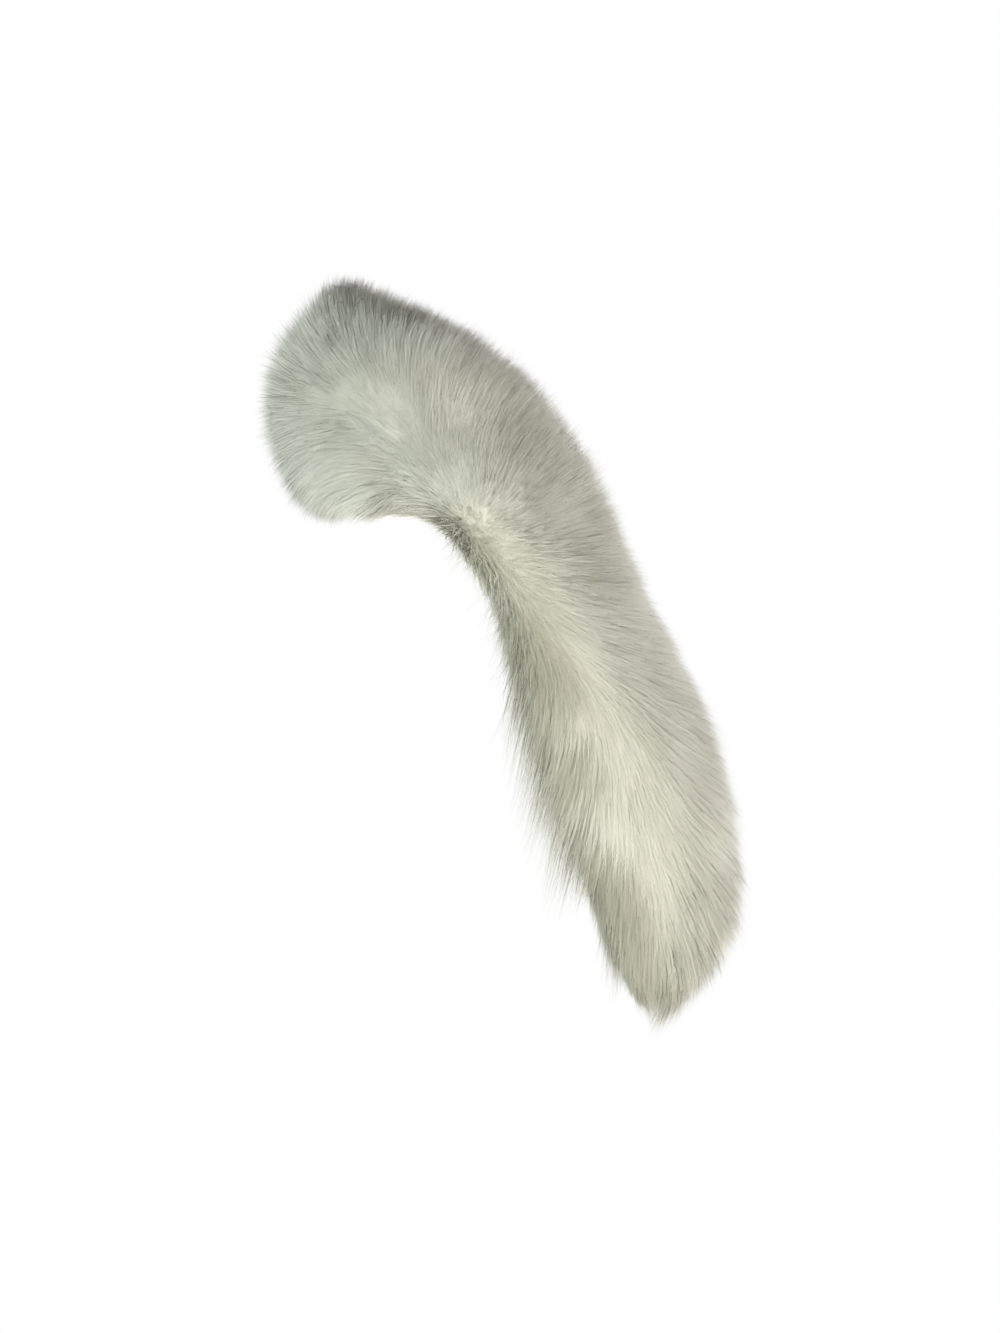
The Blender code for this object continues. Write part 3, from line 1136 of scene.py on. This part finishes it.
def coat_layers(side: Side) -> tuple:
    """The layers of one side's coat.

    Args:
        side: The side.

    Returns:
        Guard hair, down, and the hair round the edges.
    """
    number = list(Side).index(side)
    return (
        Layer(side, name="guard_hair", count=30000, seed=100 + number, width=0.00034),
        Layer(side, name="down_hair", count=86000, seed=300 + number, width=0.00034,
              rings=(0.42, 0.76, 1.0), length=(0.93, 1.07), stray=0.0024, lock_size=0.0030,
              lock_pull=0.14, smoothing=0.96, loose=0.5, tone=(0.60, 0.18)),
        Layer(side, name="edge_hair", count=12000, seed=500 + number, length=(0.70, 1.02),
              lock_pull=0.2, cover=Cover.EDGES, sections=(0.0, FUR_END), parts=("rim",)),
    )


class Light(NamedTuple):
    """A square area light: its name, its place, the length of its side, its watts and its colour."""

    name: str
    place: tuple
    size: float
    power: float
    colour: tuple


LIGHTS = (
    Light("key", (-3.0, -0.9, -1.15), 1.2, 108, (1.0, 0.93, 0.83)),
    Light("right", (-3.4, 0.1, -0.3), 2.0, 33, (0.78, 1.0, 0.92)),
    Light("front", (-0.4, -3.3, -0.2), 2.0, 23, (1.0, 0.98, 0.94)),
    Light("nape", (-1.2, 2.6, 1.6), 2.0, 33, (0.96, 1.0, 0.98)),
    Light("behind", (0.0, 3.2, 0.4), 2.0, 37, (0.86, 1.0, 0.92)),
    Light("left", (3.0, -1.5, -0.3), 2.2, 105, (1.0, 0.98, 0.92)),
    Light("top", (1.8, -0.2, 2.4), 2.4, 38, (1.0, 0.99, 0.95)),
    Light("back_left", (2.2, 2.5, 0.2), 2.2, 40, (0.94, 1.0, 0.95)),
)


@dataclass
class Studio:
    """Camera, soft lights, a bright surround and a pale floor."""

    distance: float = 3.0
    near_plane: float = -0.09       # the fur that faces the camera
    picture_height: float = 0.8665  # of what the camera sees there
    target: tuple = (-0.0355, -0.1537)
    camera_height: float = 0.02
    sensor: float = 36.0
    middle: tuple = (-0.05, -0.05, -0.15)   # where the lights aim
    floor_height: float = -1.36
    floor_radius: float = 3.3
    floor_corners: int = 128

    @staticmethod
    def stand(name: str, data: bpy.types.ID, place: tuple, aim: tuple) -> bpy.types.Object:
        """Stand a camera or a light at a place, turned towards the point that it aims at."""
        obj = bpy.data.objects.new(name, data)
        obj.location = place
        obj.rotation_mode = "QUATERNION"
        obj.rotation_quaternion = (Vector(aim) - Vector(place)).to_track_quat("-Z", "Y")
        bpy.context.scene.collection.objects.link(obj)
        return obj

    def camera(self) -> None:
        """A camera at the wearer's right, a little raised and looking straight across."""
        data = bpy.data.cameras.new("camera")
        data.sensor_width = self.sensor
        data.lens = self.sensor * self.distance / self.picture_height
        data.dof.use_dof = False
        data.clip_start, data.clip_end = 0.05, 50
        place = (self.near_plane - self.distance, self.target[0], self.camera_height)
        bpy.context.scene.camera = self.stand("camera", data, place, (self.near_plane, *self.target))

    def light(self, light: Light) -> None:
        """Set up one of the lights, unseen by the camera."""
        data = bpy.data.lights.new(light.name, "AREA")
        data.shape, data.size = "SQUARE", light.size
        data.energy, data.color = light.power, light.colour
        self.stand(light.name, data, light.place, self.middle).visible_camera = False

    def surround(self) -> None:
        """A white surround for the camera that lights the scene dimly, and mostly from the sides."""
        world = bpy.data.worlds.new("surround")
        world.use_nodes = True
        bpy.context.scene.world = world
        tree = world.node_tree
        tree.nodes.clear()
        nodes = Nodes(tree)
        shown = nodes.add("Background", {"Color": (1, 1, 1, 1), "Strength": 1.0})
        up = nodes.add("SeparateXYZ", {0: nodes.add("TexCoord").outputs["Generated"]})
        steep = nodes.add("Math", {0: up.outputs[2]}, operation="ABSOLUTE")
        level = nodes.add("MapRange", {0: steep.outputs[0], 1: 0.0, 2: 1.0, 3: 0.10, 4: 0.05})
        given = nodes.add("Background", {"Color": (1.0, 1.0, 0.98, 1), "Strength": level.outputs[0]})
        path = nodes.add("LightPath").outputs["Is Camera Ray"]
        mix = nodes.add("MixShader", {0: path, 1: given.outputs[0], 2: shown.outputs[0]})
        nodes.add("OutputWorld", {"Surface": mix.outputs[0]})

    def floor(self) -> None:
        """A plain pale round floor under the hanging stole, out of the camera's sight."""
        corners = self.floor_corners
        turn = np.linspace(0, 2 * np.pi, corners, endpoint=False)
        points = self.floor_radius * np.column_stack([np.cos(turn), np.sin(turn), np.zeros(corners)])
        points[:, 2] = self.floor_height
        material = Surface("studio_floor").shade({
            "Base Color": (0.88, 0.88, 0.87, 1), "Roughness": 0.9,
            "Emission Color": (1.0, 1.0, 0.99, 1), "Emission Strength": 0.16})
        Builder.mesh("studio_floor", points, np.arange(corners), np.array([corners]), material)

    def build(self) -> None:
        """Build the whole studio."""
        self.camera()
        self.surround()
        self.floor()
        for light in LIGHTS:
            self.light(light)
        view = bpy.context.scene.view_settings
        view.view_transform = "Standard"
        view.look = "None"


def main() -> None:
    """Build the wrap round the frame, piece by piece, and then its studio."""
    logging.basicConfig(level=logging.INFO, format="%(message)s")
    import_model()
    band = Band()
    patches = build_patches()
    suede = SuedeFinish().build(patches)
    underfur_finish = UnderfurFinish().build(patches)
    hair_finish = HairFinish().build()

    for side in Side:
        pelt = Pelt(side)
        skin = pelt.build(band, suede)
        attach(skin, "root")
        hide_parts(f"pelt_{side.label}")
        body = Underfur(side).build(band, underfur_finish)
        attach(body, "root")
        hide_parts(f"fur_neck_{side.label}", f"fur_front_{side.label}")
        grown = [body]
        for layer in coat_layers(side):
            grown += Coat(layer).build(band, hair_finish)
        for piece in grown:
            if piece is not body:
                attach(piece, "root")
            LOG.info("%s: %d faces", piece.name, len(piece.data.polygons))
        area = pelt.flat_area(band)
        LOG.info("%s: cut area %.4f m2", skin.name, area)

    thread = SeamThread().build(band, ThreadFinish().build())
    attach(thread, "root")
    LOG.info("%s: %d faces", thread.name, len(thread.data.polygons))

    Studio().build()


if __name__ == "__main__":
    main()
